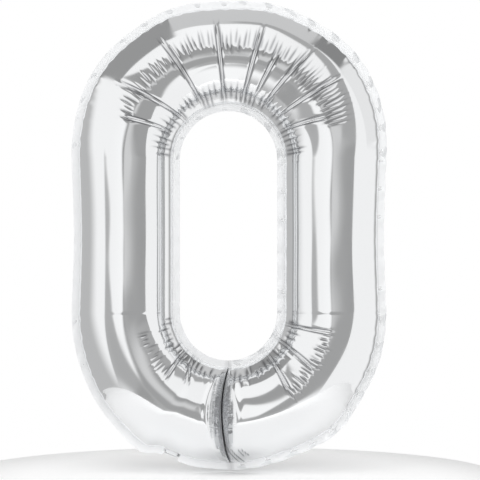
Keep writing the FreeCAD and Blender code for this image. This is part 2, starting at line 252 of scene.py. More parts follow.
@dataclass(frozen=True)
class MirrorFoil:
    """Vacuum-metallised nylon film: aluminium a few hundredths of a micron thick on drawn film.

    The eye sees a near mirror with a faint milky bloom, the satin print of the sealing bar on the margin,
    and sharp crackle where the film is crushed. Along the folds and in the cross seam's valley its colour is
    darkened towards grey: painted shade for the dark self-reflection and occlusion of tightly folded film.
    """

    name: str = "metallised_nylon_film"
    colour: str = "#F3F4F5"
    crease_shade_colour: str = "#77787C"
    roughness: float = 0.055
    bloom: float = 0.05
    weld_roughness: float = 0.32
    weld_metal: float = 0.35
    bloom_size: float = 60 * MM
    crackle_size: float = 4.5 * MM
    crackle_squeeze: float = 0.32
    crackle_height: float = 1.1 * MM
    # the bar's print is about 1 mm fine and is drawn at 2.6 mm so that it shows
    print_size: float = 2.6 * MM
    print_height: float = 0.03 * MM

    def build(self) -> bpy.types.Material:
        """Makes the material.

        Returns:
            The material, which reads the point values "weld", "crush" and "crease"; the last one darkens the
            colour as painted shade.
        """
        material, tree, shader = new_material(self.name)
        place = add_node(tree, "ShaderNodeTexCoord").outputs["Object"]
        weld, crush, crease_shade = (
            add_node(tree, "ShaderNodeAttribute", {"attribute_name": key}).outputs["Fac"]
            for key in ("weld", "crush", "crease_shade")
        )
        # painted shade: the base colour is mixed towards dark grey along the folds and in the seam's valley
        colour = add_node(tree, "ShaderNodeMix", {"data_type": "RGBA"}, {
            0: crease_shade, 6: linear_colour(self.colour), 7: linear_colour(self.crease_shade_colour)})
        bloom = add_node(tree, "ShaderNodeTexNoise", inputs={
            "Vector": place, "Scale": 1 / self.bloom_size, "Detail": 3.0})
        satin = add_node(tree, "ShaderNodeMapRange", inputs={
            "Value": bloom.outputs["Fac"], "From Min": 0.35, "From Max": 0.7,
            "To Min": self.roughness, "To Max": self.roughness + self.bloom})
        roughness = add_node(tree, "ShaderNodeMix", {"data_type": "FLOAT"}, {
            "Factor": weld, "A": satin.outputs["Result"], "B": self.weld_roughness})
        metal = add_node(tree, "ShaderNodeMix", {"data_type": "FLOAT"}, {
            "Factor": weld, "A": 1.0, "B": self.weld_metal})

        # crackle lies along the seam: it is squeezed across, so that it runs up and down finely
        squeeze = add_node(tree, "ShaderNodeMapping", inputs={
            "Vector": place, "Scale": (self.crackle_squeeze, self.crackle_squeeze, 1.0)})
        crackle = add_node(tree, "ShaderNodeTexNoise", {"noise_type": "RIDGED_MULTIFRACTAL"}, {
            "Vector": squeeze.outputs["Vector"], "Scale": 1 / self.crackle_size,
            "Detail": 3.0, "Roughness": 0.6})
        cells = add_node(tree, "ShaderNodeTexVoronoi", inputs={
            "Vector": place, "Scale": 1 / self.print_size, "Randomness": 0.25})
        under: dict[str | int, object] = {}
        for pattern, share, depth in (
            (crackle.outputs["Fac"], crush, self.crackle_height),
            (cells.outputs["Distance"], weld, self.print_height),
        ):
            height = add_node(tree, "ShaderNodeMath", {"operation": "MULTIPLY"}, {0: pattern, 1: share})
            bump = add_node(tree, "ShaderNodeBump", inputs={
                "Height": height.outputs["Value"], "Distance": depth, "Strength": 1.0, **under})
            under = {"Normal": bump.outputs["Normal"]}
        tree.links.new(colour.outputs[2], shader.inputs["Base Color"])
        tree.links.new(roughness.outputs[0], shader.inputs["Roughness"])
        tree.links.new(bump.outputs["Normal"], shader.inputs["Normal"])
        tree.links.new(metal.outputs[0], shader.inputs["Metallic"])
        return material


@dataclass(frozen=True)
class FusedSeal:
    """The two films' clear polyethylene layers melted together: a hard, slightly grey gloss plastic."""

    name: str = "fused_polyethylene_seal"
    colour: str = "#C9CBCE"
    roughness: float = 0.35
    ior: float = 1.51
    cloud_size: float = 25 * MM
    # the sealing bar leaves cross lines about 1.5 mm apart
    line_size: float = 1.5 * MM
    line_height: float = 0.08 * MM

    def build(self) -> bpy.types.Material:
        """Makes the material.

        Returns:
            The material.
        """
        material, tree, shader = new_material(self.name)
        place = add_node(tree, "ShaderNodeTexCoord").outputs["Object"]
        lines = add_node(tree, "ShaderNodeTexVoronoi", inputs={
            "Vector": place, "Scale": 1 / self.line_size, "Randomness": 0.2})
        cloud = add_node(tree, "ShaderNodeTexNoise", inputs={
            "Vector": place, "Scale": 1 / self.cloud_size, "Detail": 2.0})
        textured(tree, shader, lines.outputs["Distance"], self.line_height, cloud.outputs["Fac"],
                 self.roughness)
        shader.inputs["Base Color"].default_value = linear_colour(self.colour)
        shader.inputs["IOR"].default_value = self.ior
        return material


@dataclass(frozen=True)
class ValveFilm:
    """Blown polyethylene film: thin, milky and limp, with fine draw lines along its length."""

    name: str = "milky_polyethylene_film"
    colour: str = "#EEF1F4"
    roughness: float = 0.28
    alpha: float = 0.72
    ior: float = 1.51
    line_size: float = 2.0 * MM
    line_height: float = 0.05 * MM

    def build(self) -> bpy.types.Material:
        """Makes the material.

        Returns:
            The material.
        """
        material, tree, shader = new_material(self.name)
        place = add_node(tree, "ShaderNodeTexCoord").outputs["Object"]
        stretch = add_node(tree, "ShaderNodeMapping", inputs={"Vector": place, "Scale": (1.0, 0.15, 0.15)})
        lines = add_node(tree, "ShaderNodeTexNoise", inputs={
            "Vector": stretch.outputs["Vector"], "Scale": 1 / self.line_size, "Detail": 2.0})
        textured(tree, shader, lines.outputs["Fac"], self.line_height, lines.outputs["Fac"], self.roughness)
        shader.inputs["Base Color"].default_value = linear_colour(self.colour)
        shader.inputs["IOR"].default_value = self.ior
        shader.inputs["Alpha"].default_value = self.alpha
        return material


@dataclass(frozen=True)
class PaperFloor:
    """Matt pale paper with a fine tooth; a little light of its own stands for light from underneath."""

    name: str = "pale_paper_floor"
    colour: str = "#FAFAFA"
    roughness: float = 0.9
    glow: float = 0.12
    # the tooth is under 1 mm and is drawn at 3.3 mm so that it isn't lost
    tooth_size: float = 10 / 3 * MM
    tooth_height: float = 0.1 * MM

    def build(self) -> bpy.types.Material:
        """Makes the material.

        Returns:
            The material.
        """
        material, tree, shader = new_material(self.name)
        place = add_node(tree, "ShaderNodeTexCoord").outputs["Object"]
        grain = add_node(tree, "ShaderNodeTexNoise", inputs={
            "Vector": place, "Scale": 1 / self.tooth_size, "Detail": 2.0})
        bump = add_node(tree, "ShaderNodeBump", inputs={
            "Height": grain.outputs["Fac"], "Distance": self.tooth_height})
        tree.links.new(bump.outputs["Normal"], shader.inputs["Normal"])
        shader.inputs["Base Color"].default_value = linear_colour(self.colour)
        shader.inputs["Roughness"].default_value = self.roughness
        shader.inputs["Emission Color"].default_value = (1.0, 1.0, 1.0, 1.0)
        shader.inputs["Emission Strength"].default_value = self.glow
        return material


# ---------------------------------------------------------------- the numeral's form
@dataclass(frozen=True)
class Loop:
    """The tube's centre line: up the left side, over the top and down the right, from the foot's middle.

    A station is the distance along it. The outward direction at a station is (cos a, sin a) in X and Z.
    """

    bend: float = 194 * MM
    leg: float = 286 * MM
    low: float = 296.5 * MM
    foot_columns: int = 236
    leg_columns: int = 70
    top_columns: int = 600

    @property
    def quarter(self) -> float:
        """Length of a quarter bend."""
        return self.bend * math.pi / 2

    @property
    def length(self) -> float:
        """Length of the whole loop."""
        return 4 * self.quarter + 2 * self.leg

    def stations(self) -> np.ndarray:
        """Places the columns: close together on the bends and closest at the cross seam.

        Returns:
            Stations from 0 up to, but not including, the loop's length.
        """
        marks = [0.0, self.quarter, self.quarter + self.leg, 3 * self.quarter + self.leg]
        marks += [3 * self.quarter + 2 * self.leg, self.length]
        counts = [self.foot_columns, self.leg_columns, self.top_columns]
        counts += [self.leg_columns, self.foot_columns]
        shares = [np.linspace(0.0, 1.0, count, endpoint=False) for count in counts]
        shares[0] = shares[0] ** 1.3
        shares[4] = 1.0 - (1.0 - shares[4]) ** 1.3
        runs = [a + (b - a) * share for a, b, share in zip(marks[:-1], marks[1:], shares)]
        return np.concatenate(runs)

    def heading(self, station: np.ndarray) -> np.ndarray:
        """The outward direction's angle: 270 degrees at the foot, falling by arc length over radius.

        Args:
            station: distances along the loop.

        Returns:
            Angles in radians, from 3/2 pi down to -1/2 pi.
        """
        q, leg = self.quarter, self.leg
        turned = np.clip(station, 0, q) + np.clip(station - q - leg, 0, 2 * q)
        turned = turned + np.clip(station - 3 * q - 2 * leg, 0, q)
        return 1.5 * math.pi - turned / self.bend

    def centre_height(self, station: np.ndarray) -> np.ndarray:
        """Height of the bend centre that a station turns about, sliding along the straight sides.

        Args:
            station: distances along the loop.

        Returns:
            Heights in metres.
        """
        q, leg = self.quarter, self.leg
        up = np.clip(station - q, 0, leg)
        down = np.clip(station - 3 * q - leg, 0, leg)
        return self.low + up - down

    def crowding(self, station: np.ndarray) -> np.ndarray:
        """1 on a bend, where lengths grow with the distance from its centre, and 0 on a side.

        Args:
            station: distances along the loop.

        Returns:
            1 or 0 for each station.
        """
        q, leg = self.quarter, self.leg
        left_side = (station > q) & (station < q + leg)
        right_side = (station > 3 * q + leg) & (station < 3 * q + 2 * leg)
        return np.where(left_side | right_side, 0.0, 1.0)

    def stretch(self, station: np.ndarray, reach: np.ndarray | float) -> np.ndarray:
        """How much longer a piece of the outline is at a reach: 1 + reach / bend radius on a bend."""
        return 1.0 + self.crowding(station) * reach / self.bend

    def station_at(self, degrees: float) -> float:
        """The station whose outward direction has an angle, counted from +X towards +Z.

        Args:
            degrees: the angle; 90 is the top, 270 the foot. Angles below 0 lie on the foot's right half.

        Returns:
            The station in metres.
        """
        turned = math.radians(270.0 - degrees) * self.bend
        passed = self.leg * (degrees < 180.0) + self.leg * (degrees < 0.0)
        return turned + passed


@dataclass(frozen=True)
class Fold:
    """One fold line from the rim weld side outwards, given by angle and distance from the tube's line."""

    inner_angle: float
    inner_reach: float
    outer_angle: float
    outer_reach: float
    width: float
    height: float
    kind: FoldKind


@dataclass(frozen=True)
class Swell:
    """A place where the outline stands out: its angle and half width in degrees, and how far."""

    angle: float
    half_width: float
    amount: float


@dataclass
class FoilForm:
    """The inflated shape of both panels as displacement fields over station and reach.

    Reach is the signed distance from the tube's centre line, measured outwards in the seam plane: -R is
    the weld round the hole and +R the outer weld.
    """

    loop: Loop = field(default_factory=Loop)
    radius: float = 89 * MM
    margin: float = 13.5 * MM
    seal_half: float = 0.5 * MM
    film: float = 0.4 * MM
    inner_inset: float = 5 * MM
    tube_rows: int = 56
    hidden_rows: int = 9
    valley_left: float = 34 * MM
    valley_right: float = 26 * MM
    neck_angle: float = 248.0
    notch_half: float = 14 * MM
    notch_margin: float = 6 * MM
    bow_reach: float = 52 * MM
    side_draw: float = 5.5 * MM
    swells: tuple[Swell, ...] = (
        Swell(143, 20, 7.0 * MM),
        Swell(112, 13, 6.0 * MM),
        Swell(72, 13, 6.0 * MM),
        Swell(42, 20, 13.0 * MM),
        Swell(18, 16, 5.0 * MM),
        Swell(241, 11, 12.0 * MM),
        Swell(222, 16, 5.0 * MM),
        Swell(-48, 12, 8.0 * MM),
        Swell(-18, 12, 2.0 * MM),
    )

    def rows(self) -> tuple[np.ndarray, np.ndarray]:
        """Places the rows across a panel's outer wall.

        Returns:
            The reach of each row and its angle round the tube, 180 degrees at the rim weld and 0 at the
            outer weld. On the flat margins the angle stays at 180 or 0.
        """
        r, m = self.radius, self.margin
        rim = -r - m * np.array([1.0, 0.965, 0.75, 0.5, 0.25, 0.06])
        outer = -rim[::-1]
        share = np.linspace(0.0, 1.0, self.tube_rows + 1)
        angle = math.pi * (1.0 - (share - 0.035 * np.sin(4 * math.pi * share)))
        reach = np.concatenate([rim, r * np.cos(angle), outer])
        turned = np.concatenate([np.full(len(rim), math.pi), angle, np.zeros(len(outer))])
        return reach, turned

    # ------------------------------------------------ where things are
    def across_crease(self, heading: np.ndarray, reach: np.ndarray) -> np.ndarray:
        """Distance right of the foot's centre line, before the line is bowed; large above the bends."""
        across = (self.loop.bend + reach) * np.cos(heading)
        return np.where(np.sin(heading) < 0.0, across, np.copysign(1.0, np.cos(heading)))

    def bow(self, reach: np.ndarray) -> np.ndarray:
        """How far the cross seam wanders left of the centre line: a half wave, 12 mm at its deepest.

        Args:
            reach: reaches.

        Returns:
            Offsets along X.
        """
        share = (reach + self.radius) / (2 * self.radius)
        sway = -12.5 * MM * np.sin(math.pi * np.clip(share, 0, 1) ** 0.85)
        return sway + 5 * MM * smooth_step(0.86, 1.05, share)

    def along_neck(self, heading: np.ndarray, reach: np.ndarray) -> np.ndarray:
        """Distance from the neck's centre line along the outline; large away from the neck.

        Args:
            heading: outward angles.
            reach: reaches.

        Returns:
            Signed distances in metres.
        """
        turned = heading - math.radians(self.neck_angle)
        near = np.abs(turned) < 0.5
        return np.where(near, -(self.loop.bend + reach) * np.sin(turned), 1.0)

    def from_neck(self, heading: np.ndarray) -> np.ndarray:
        """Distance from the neck's line along the outer weld; large away from the neck."""
        return np.abs(self.along_neck(heading, np.full_like(heading, self.radius)))

    # ------------------------------------------------ margins
    def ruffle(self, station: np.ndarray, reach: np.ndarray, heading: np.ndarray) -> np.ndarray:
        """Sideways wave of the flat margins, the same for both panels and both welds' films.

        The sum of two sine waves along the edge, growing from nothing at the weld to the cut edge, and
        dying out at the neck, where the valve's plies lie flat between the films.

        Args:
            station: distances along the loop.
            reach: reaches.
            heading: outward angles.

        Returns:
            Offsets along Y.
        """
        beyond = np.clip((np.abs(reach) - self.radius) / self.margin, 0.0, 1.0)
        edge = station * self.loop.stretch(station, reach)
        waves = 0.7 * wave(edge, 47 * MM, 0.7 * np.sin(edge / (57 * MM))) + 0.3 * wave(edge, 27 * MM, 1.1)
        right = 0.6 + 0.9 * smooth_step(-0.2, 0.6, np.cos(heading))
        quiet = smooth_step(15 * MM, 30 * MM, np.abs(self.along_neck(heading, reach)))
        return 1.1 * MM * waves * beyond**1.3 * right * quiet

    def edge_reach(self, station: np.ndarray, reach: np.ndarray, heading: np.ndarray) -> np.ndarray:
        """Moves the margin's rows so that the cut edge is scalloped, and notched at the neck.

        The scallops are the absolute value of a sine along the edge; the notch is a smooth step.

        Args:
            station: distances along the loop.
            reach: reaches.
            heading: outward angles.

        Returns:
            The moved reaches.
        """
        beyond = np.clip((reach - self.radius) / self.margin, 0.0, 1.0)
        edge = station * self.loop.stretch(station, reach)
        scallop = np.abs(np.sin(edge * math.pi / (46 * MM) + 0.8)) - 0.6
        right = 0.25 + 0.95 * smooth_step(-0.3, 0.5, np.cos(heading))
        reach = reach + 1.3 * MM * scallop * right * beyond
        notch = smooth_step(self.notch_half + 1.6 * MM, self.notch_half - 0.4 * MM, self.from_neck(heading))
        return reach - notch * beyond * (self.margin - self.notch_margin)

    # ------------------------------------------------ film relief
    def folds(self, side: Side) -> list[Fold]:
        """Lists the strong folds and the fine pleats of one panel.

        Args:
            side: the panel; each has its own pattern of pleats.

        Returns:
            All fold lines, strong ones first.
        """
        # (inner angle, inner end, outer angle, outer end, height)
        strong = [
            (138.3, -84, 145.3, 44, 1.0),
            (154.9, -62, 158.4, 10, 0.6),
            (115.5, -76, 119.7, 55, 1.0),
            (94.2, -79, 95.0, 57, 1.05),
            (76.6, -79, 75.2, 53, 0.95),
            (66.6, -62, 64.5, 23, 0.7),
            (56.5, -75, 52.3, 51, 1.0),
            (39.9, -66, 36.0, 52, 0.9),
            (27.8, -79, 22.5, 0, 0.8),
            (222.0, -84, 226.0, -30, 0.6),
            (232.0, -88, 240.6, -43, 0.6),
            (-11.6, -82, -10.7, 0, 0.9),
            (-28.3, -88, -33.2, -6, 0.95),
            (-46.7, -82, -52.0, -15, 0.7),
            (-88.6, 58, -85.0, 90, 0.6),
            (-84.5, 60, -82.5, 74, 0.35),
        ]
        if side is Side.BACK:
            strong = [
                (180.0 - inner, low, 182.0 - outer, high, 0.9 * tall)
                for inner, low, outer, high, tall in strong
                if abs(inner - 222.0) > 12
            ]
        found = [
            Fold(a, i * MM, b, o * MM, 3.5 * MM, 1.5 * MM * h, FoldKind.PINCHED)
            for a, i, b, o, h in strong
        ]
        draw = np.random.default_rng(11 if side is Side.FRONT else 23)
        # (first angle, last angle, pitch in degrees, inner end, outer end, width, height)
        families = (
            (121, 160, 2.5, -6, 32, 1.8, 0.55),
            (58, 120, 2.2, 2, 48, 1.8, 0.62),
            (18, 57, 2.1, -12, 50, 1.8, 0.62),
            (4, 176, 4.4, -88, -50, 2.2, 0.9),
            (193, 227, 2.6, -50, -22, 1.5, 0.5),
            (186, 262, 4.6, -88, -58, 2.0, 0.8),
            (-52, -13, 2.3, -26, 6, 1.7, 0.7),
            (-82, -4, 4.6, -88, -54, 2.2, 0.9),
        )
        for first, last, pitch, inner, outer, width, height in families:
            angles = np.arange(first, last, pitch)
            angles = angles + draw.uniform(-0.17, 0.17, len(angles)) * pitch
            tips = outer + draw.uniform(-13, 5, len(angles))
            roots = inner + draw.uniform(-3, 14, len(angles))
            for angle, tip, root in zip(angles, tips, roots):
                lean = draw.uniform(-0.5, 0.5)
                wide = width * MM * draw.uniform(0.75, 1.2)
                tall = height * MM * draw.uniform(0.55, 1.25)
                end = max(tip, root + 12) * MM
                found.append(Fold(angle, root * MM, angle + lean, end, wide, tall, FoldKind.GROOVE))
        return found

    def relief(self, side: Side, station: np.ndarray, reach: np.ndarray) -> tuple[np.ndarray, np.ndarray]:
        """Height of the folds and pleats along the film's outward normal, and the painted shade that darkens
        the foil along them.

        Each line has a width and a height that fade in from its outer tip and out at its inner end. A
        groove is -exp(-|q|^1.5); a pinched fold is (1 - 1.6 q^2) exp(-q^2), where q is the distance from
        the line over its width.

        Args:
            side: the panel.
            station: one row of stations, shape (columns, 1).
            reach: reaches, shape (1, rows).

        Returns:
            Heights in metres and creases between 0 and 1, both of shape (columns, rows).
        """
        total = np.zeros((station.shape[0], reach.shape[1]))
        fold_shade = np.zeros_like(total)
        for fold in self.folds(side):
            inner, outer = self.loop.station_at(fold.inner_angle), self.loop.station_at(fold.outer_angle)
            near = np.abs(station[:, 0] - 0.5 * (inner + outer)) < 40 * MM + abs(inner - outer)
            share = (reach - fold.inner_reach) / (fold.outer_reach - fold.inner_reach)
            middle = inner + (outer - inner) * np.clip(share, 0.0, 1.0)
            away = (station[near] - middle) * self.loop.stretch(station[near], reach)
            if fold.kind is FoldKind.PINCHED:
                q = away / (fold.width * (0.62 + 0.5 * np.clip(share, 0, 1)))
                ridge = (1.0 - 1.6 * q**2) * hill(q, 0.0, 1.0)
                line = hill(np.abs(q), 1.2, 0.42) + 0.35 * hill(q, 0.0, 0.25)
                fade = smooth_step(-0.12, 0.1, share) * smooth_step(1.08, 0.82, share)
            else:
                q = away / (fold.width * (1.35 - 0.75 * np.clip(share, 0, 1)))
                ridge = -np.exp(-(np.abs(q) ** 1.5))
                line = -0.8 * ridge
                fade = smooth_step(-0.1, 0.2, share) * smooth_step(1.0, 0.55, share)
            total[near] += fold.height * ridge * fade
            # painted shade: each line darkens the foil's colour in its groove, and in the two grooves beside
            # a pinched ridge
            fold_shade[near] = np.maximum(fold_shade[near], line * fade * min(1.0, fold.height / (0.6 * MM)))
        return total, np.clip(fold_shade, 0.0, 1.0)

    def slack(self, side: Side, station: np.ndarray, angle: np.ndarray, heading: np.ndarray) -> np.ndarray:
        """Long shallow waves of the tight film, and short puckers along the outer weld on the bends.

        Sines of the station, each faded over the angle round the tube.

        Args:
            side: the panel.
            station: stations, shape (columns, 1).
            angle: angles round the tube, shape (1, rows).
            heading: outward angles, shape (columns, 1).

        Returns:
            Heights along the outward normal, in metres.
        """
        shift = 0.0 if side is Side.FRONT else 1.9
        turn = 2 * math.pi * station / self.loop.length
        waves = 0.9 * np.sin(3 * turn + 1.3 + shift) * np.cos(angle + 0.4)
        waves = waves + 0.7 * np.sin(5 * turn + 0.2 + shift) * np.sin(2 * angle)
        waves = waves + 0.45 * np.sin(9 * turn + 2.2 * shift) * np.cos(2 * angle + 0.8)
        edge = station * self.loop.stretch(station, self.radius)
        pucker = wave(edge, 29 * MM, 0.8 * np.sin(edge / (43 * MM))) + 0.5 * wave(edge, 17 * MM, 2.0)
        pucker = pucker * (0.35 + 0.9 * self.loop.crowding(station))
        near_weld = smooth_step(math.radians(42), math.radians(6), angle)
        near_weld = near_weld * smooth_step(0.0, math.radians(5), angle)
        quiet = smooth_step(10 * MM, 60 * MM, np.abs(self.across_crease(heading, self.radius)))
        both = waves * np.sin(angle) * quiet + 0.35 * pucker * near_weld
        return MM * both * (0.1 + 0.9 * self.calm(heading))

    def swelling(self, heading: np.ndarray, station: np.ndarray) -> np.ndarray:
        """How far the outer weld stands off the plain outline: a Gaussian hill for each swell.

        The straight sides are drawn in by a hill round their middle. Nothing swells at the neck.

        Args:
            heading: outward angles.
            station: distances along the loop.

        Returns:
            Distances outwards.
        """
        degrees = np.degrees(heading)
        total = np.zeros_like(degrees)
        for swell in self.swells:
            total = total + swell.amount * hill(degrees, swell.angle, swell.half_width)
        total = total * self.calm(heading)
        middle = self.loop.quarter + 0.5 * self.loop.leg
        for centre in (middle, self.loop.length - middle):
            total = total - self.side_draw * hill(station, centre, 130 * MM)
        return total

    def calm(self, heading: np.ndarray) -> np.ndarray:
        """0 within 18 mm of the neck's line, rising to 1 at 55 mm, so that the folded tail lies clear."""
        return smooth_step(18 * MM, 55 * MM, self.from_neck(heading))

    def pinch(self, heading: np.ndarray, reach: np.ndarray) -> tuple[np.ndarray, np.ndarray]:
        """How far the tube is closed by the cross seam.

        Part of the depth is a slot 1.6 mm to each side of the seam; the rest follows (1 - (1 - d)^2)^0.9,
        where d is the distance from the seam over the valley's half width, which is widest in the middle
        of the tube. Further out the film sags towards the seam by a falling exponential, and a low hill
        is its lip.

        Args:
            heading: outward angles.
            reach: reaches.

        Returns:
            The depth's factor, 0 at the seam, and how crushed the film is, 1 at the seam.
        """
        away = self.across_crease(heading, reach)
        share = np.clip((reach + self.radius) / (2 * self.radius), 0, 1)
        lens = 0.30 + 0.70 * np.sin(math.pi * share) ** 0.8
        width = np.where(away < 0, self.valley_left, self.valley_right) * lens
        d = np.clip(np.abs(away) / width, 0.0, 1.0)
        slot = smooth_step(0.0, 1.6 * MM, np.abs(away)) ** 0.7
        depth = 0.58 * slot + 0.42 * (1.0 - (1.0 - d) ** 2) ** 0.9
        depth = depth * (1.0 - 0.25 * np.exp(-np.abs(away) / (38 * MM)) * np.sin(math.pi * share))
        lip = 0.035 * hill(np.abs(away) / width, 1.05, 0.22) * np.where(away < 0, 1.0, 0.4)
        return depth + lip, smooth_step(1.05, 0.35, np.abs(away) / width)

    def place(self, station: np.ndarray, heading: np.ndarray, reach: np.ndarray,
              outwards: np.ndarray) -> tuple[np.ndarray, np.ndarray, np.ndarray]:
        """Puts points on the outline: the swells move them outwards, and the foot's seam bows them.

        X and Z are the bend's centre plus (bend radius + distance outwards) times the outward direction.

        Args:
            station: distances along the loop.
            heading: outward angles.
            reach: reaches on the plain tube.
            outwards: the points' own distances outwards of the tube's centre line.

        Returns:
            X, Z and the swollen distances outwards.
        """
        share = np.clip((outwards + self.radius) / (2 * self.radius), 0, 1.2)
        outwards = outwards + self.swelling(heading, station) * share**1.6
        bowed = self.bow(outwards) * hill(self.across_crease(heading, reach), 0.0, self.bow_reach)
        x = (self.loop.bend + outwards) * np.cos(heading) + bowed
        z = self.loop.centre_height(station) + (self.loop.bend + outwards) * np.sin(heading)
        return x, z, outwards

    def wall(self, side: Side, station: np.ndarray, reach_row: np.ndarray, angle_row: np.ndarray,
             inset: float, detailed: bool) -> tuple[np.ndarray, dict[str, np.ndarray]]:
        """One wall of a panel.

        On the tube a point is the centre line plus (R + h) (cos b N + sin b Y), where b is the angle
        round the tube, N the outward direction and h the relief; on the margins it lies in the seam
        plane plus the ruffle.

        Args:
            side: the panel.
            station: stations of the columns.
            reach_row: reaches of the rows.
            angle_row: angles round the tube of the rows.
            inset: how far the wall lies inside the outer surface; less at the neck, round the valve.
            detailed: whether it carries folds, pleats and waves.

        Returns:
            Points of shape (columns, rows, 3) and the finish's values, each (columns, rows).
        """
        s, reach, angle = station[:, None], reach_row[None, :], angle_row[None, :]
        heading = self.loop.heading(s)
        level = np.zeros((len(station), len(reach_row)))
        flat = np.abs(reach) > self.radius + 1e-9
        away = self.across_crease(heading, reach)
        depth, crush = self.pinch(heading, reach)
        # painted shade: the foil is darkened along the cross seam and over its crushed valley
        height, crease_shade = level, np.maximum(0.35 * hill(away, 0.0, 1.8 * MM), 0.22 * crush)
        stand, kept = self.seal_half, 0.92
        if detailed:
            stand, kept = self.seal_half + self.film, 1.0
            height, lines = self.relief(side, s, reach)
            # the folds' painted shade is added to the seam's
            crease_shade = np.maximum(crease_shade, lines)
            height = height + self.slack(side, s, angle, heading)
            height = height + self.crushed_relief(side, reach, angle, away, crush)
        height = np.where(flat, 0.0, height * smooth_step(0.0, 0.16, np.sin(angle)))
        room = (1.0 - self.calm(heading)) * smooth_step(math.radians(70), math.radians(25), angle)
        radius = self.radius - inset * (1.0 - 0.8 * room) + height
        edge = self.edge_reach(s, reach + level, heading)
        x, z, outwards = self.place(s, heading, reach, np.where(flat, edge, radius * np.cos(angle)))
        lift = np.where(flat, 0.0, radius * np.sin(angle) * depth * kept)
        groove = self.neck_puckers(heading, outwards) if detailed else level
        ruffle = np.where(flat, self.ruffle(s, reach, heading), 0.0)
        y = side.value * (stand + lift - groove) + ruffle
        weld = smooth_step(self.radius - 1.0 * MM, self.radius + 1.0 * MM, np.abs(reach))
        weld = np.maximum(weld, 0.85 * hill(away, 0.0, 3.2 * MM))
        values = {"weld": weld, "crush": crush * np.where(flat, 0.3, 1.0), "crease_shade": crease_shade + level}
        return np.stack([x, y, z], axis=-1), values

    def crushed_relief(self, side: Side, reach: np.ndarray, angle: np.ndarray, away: np.ndarray,
                       crush: np.ndarray) -> np.ndarray:
        """Coarse crumples of the valley's two banks: sines of the reach and of the distance from the seam.

        Args:
            side: the panel.
            reach: reaches.
            angle: angles round the tube.
            away: distances from the cross seam.
            crush: how crushed the film is.

        Returns:
            Heights along the outward normal, in metres.
        """
        shift = 0.4 if side is Side.FRONT else 2.6
        lines = wave(reach, 14 * MM, shift + away / (5 * MM))
        lines = lines + 0.9 * wave(reach, 22 * MM, 2 * shift - away / (7 * MM))
        ribs = wave(away, 9 * MM, reach / (25 * MM))
        return 0.8 * MM * (lines + ribs) * crush * np.sin(angle)

    def neck_puckers(self, heading: np.ndarray, outwards: np.ndarray) -> np.ndarray:
        """Depth of the two creases that run in from the notch's corners: narrow Gaussian grooves.

        Args:
            heading: outward angles.
            outwards: distances outwards of the tube's centre line.

        Returns:
            Depths in metres.
        """
        along = self.along_neck(heading, outwards)
        corner = 15.0 * MM - 0.35 * (outwards - self.radius)
        both = hill(along, corner, 1.8 * MM) + hill(along, -corner, 1.8 * MM)
        both = both * smooth_step(self.radius - 9 * MM, self.radius - 1 * MM, outwards)
        return 1.4 * MM * both * smooth_step(104 * MM, 98 * MM, outwards)

    def panel(self, side: Side) -> tuple[np.ndarray, dict[str, np.ndarray]]:
        """A whole panel as one closed film: the outer wall, then the inner wall back again.

        Args:
            side: the panel.

        Returns:
            Points of shape (columns, rows, 3) and the values for the finish.
        """
        station = self.loop.stations()
        reach, angle = self.rows()
        outer, outer_values = self.wall(side, station, reach, angle, 0.0, detailed=True)
        hidden_angle = np.linspace(0.0, math.pi, self.hidden_rows)
        hidden_reach = self.radius * np.cos(hidden_angle)
        edge = self.radius + self.margin
        reach = np.concatenate([[edge], hidden_reach, [-edge]])
        angle = np.concatenate([[0.0], hidden_angle, [math.pi]])
        inner, inner_values = self.wall(side, station, reach, angle, self.inner_inset, detailed=False)
        values = {key: np.concatenate([outer_values[key], inner_values[key]], axis=1) for key in outer_values}
        return np.concatenate([outer, inner], axis=1), values


# ---------------------------------------------------------------- sub-assemblies
@dataclass
class FoilPanels:
    """The two mirror-foil panels."""

    form: FoilForm
    foil: bpy.types.Material

    def build(self) -> None:
        """Builds both panels, in place of the plain ones."""
        for side, name, node in (
            (Side.FRONT, "foil_front", "front_panel"),
            (Side.BACK, "foil_back", "back_panel"),
        ):
            points, values = self.form.panel(side)
            piece = grid_piece(name, points, True, side is Side.FRONT, values)
            stand_in(piece, self.foil, node)
            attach(piece, "balloon")


